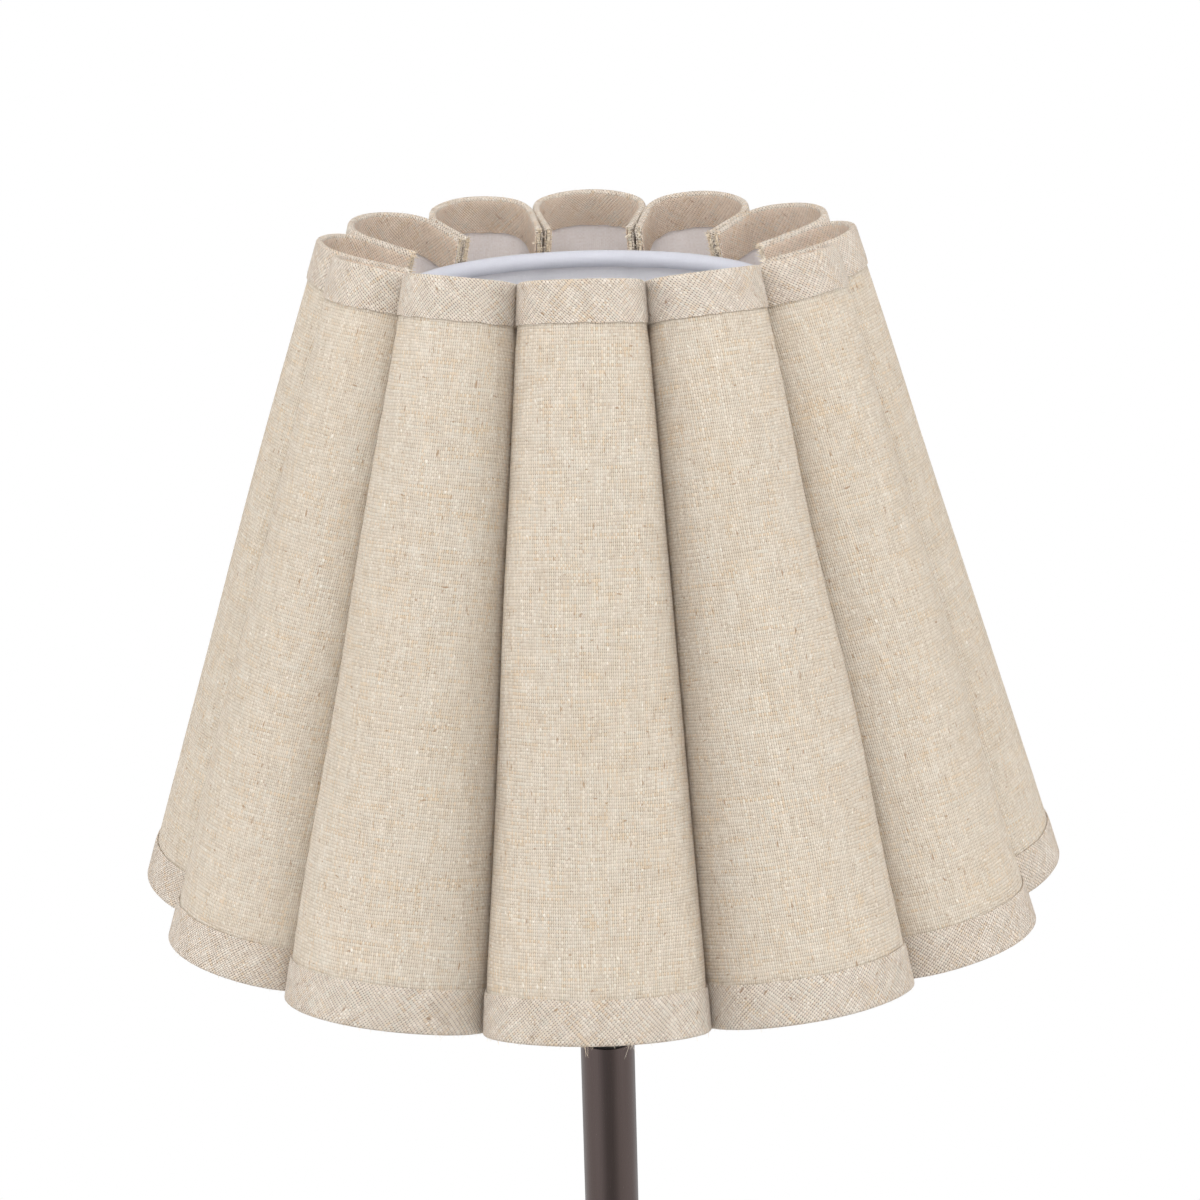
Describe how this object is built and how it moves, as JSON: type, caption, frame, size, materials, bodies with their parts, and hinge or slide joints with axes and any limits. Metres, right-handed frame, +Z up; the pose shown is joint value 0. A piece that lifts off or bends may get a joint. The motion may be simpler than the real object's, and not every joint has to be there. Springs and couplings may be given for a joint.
{
  "type": "table lamp with shade",
  "caption": "Slim pole table lamp on a round weighted foot, with a candle bulb under a conical linen shade of rounded petals bound with tape.",
  "frame": {"origin": "centre of the felt pad's underside, on the table, under the pole's axis", "axes": "+Z up along the pole, -Y towards the front petal, +Y towards the cable hole, +X to the right seen from the front"},
  "size_m": [0.2994, 0.2994, 0.5198],
  "materials": {
    "bronze": "satin dark bronze",
    "black_metal": "satin black",
    "cast_iron": "as cast",
    "felt": "pressed felt",
    "zinc_steel": "zinc plated",
    "grommet_rubber": "matt",
    "black_plastic": "satin moulded",
    "ceramic": "unglazed ceramic",
    "brass": "plain pressed",
    "cap_metal": "nickel plated",
    "black_glass": "vitrified",
    "clear_glass": "clear",
    "filament": "phosphor coat",
    "white_wire": "white powder coat",
    "lining_cloth": "white laminated lining",
    "linen": "natural plain weave",
    "linen_tape": "natural plain weave cut on the bias"
  },
  "bodies": {
    "root": {"base_shell": "bronze", "base_weight": "cast_iron", "base_pad": "felt", "base_washer": "zinc_steel", "base_nut": "zinc_steel", "cable_grommet": "grommet_rubber", "threaded_rod": "zinc_steel", "pole_foot_collar": "bronze", "pole_tube": "bronze", "pole_bottom_bush": "black_plastic", "pole_top_bush": "black_metal", "holder_cap": "bronze", "holder_nut": "zinc_steel", "holder_body": "black_plastic", "holder_insert": "ceramic", "terminal_screws": "zinc_steel", "screw_shell": "brass", "centre_contact": "brass"},
    "lower_ring": {"lower_shade_ring": "black_plastic"},
    "shade": {"fitter_plate": "white_wire", "fitter_spokes": "white_wire", "bottom_wire": "white_wire", "top_wire": "white_wire", "lining": "lining_cloth", "petal_01": "linen", "petal_02": "linen", "petal_03": "linen", "petal_04": "linen", "petal_05": "linen", "petal_06": "linen", "petal_07": "linen", "petal_08": "linen", "petal_09": "linen", "petal_10": "linen", "petal_11": "linen", "petal_12": "linen", "top_bindings": "linen_tape", "bottom_bindings": "linen_tape"},
    "upper_ring": {"upper_shade_ring": "black_plastic"},
    "bulb": {"bulb_contact": "cap_metal", "bulb_insulator": "black_glass", "bulb_cap": "cap_metal", "bulb_glass": "clear_glass", "bulb_stem": "clear_glass", "bulb_filaments": "filament"}
  },
  "joints": [
    {"name": "shade_turn", "type": "hinge", "parent": "root", "child": "lower_ring", "pos_m": [0, 0, 0.305], "axis": [0, 0, 1], "continuous": true},
    {"name": "shade_lift", "type": "slide", "parent": "lower_ring", "child": "shade", "axis": [0, 0, 1], "range_m": [0, 0.18]},
    {"name": "upper_ring_turn", "type": "hinge", "parent": "shade", "child": "upper_ring", "pos_m": [0, 0, 0.313], "axis": [0, 0, 1], "continuous": true},
    {"name": "bulb_out", "type": "slide", "parent": "root", "child": "bulb", "axis": [0, 0, 1], "range_m": [0, 0.25]}
  ]
}
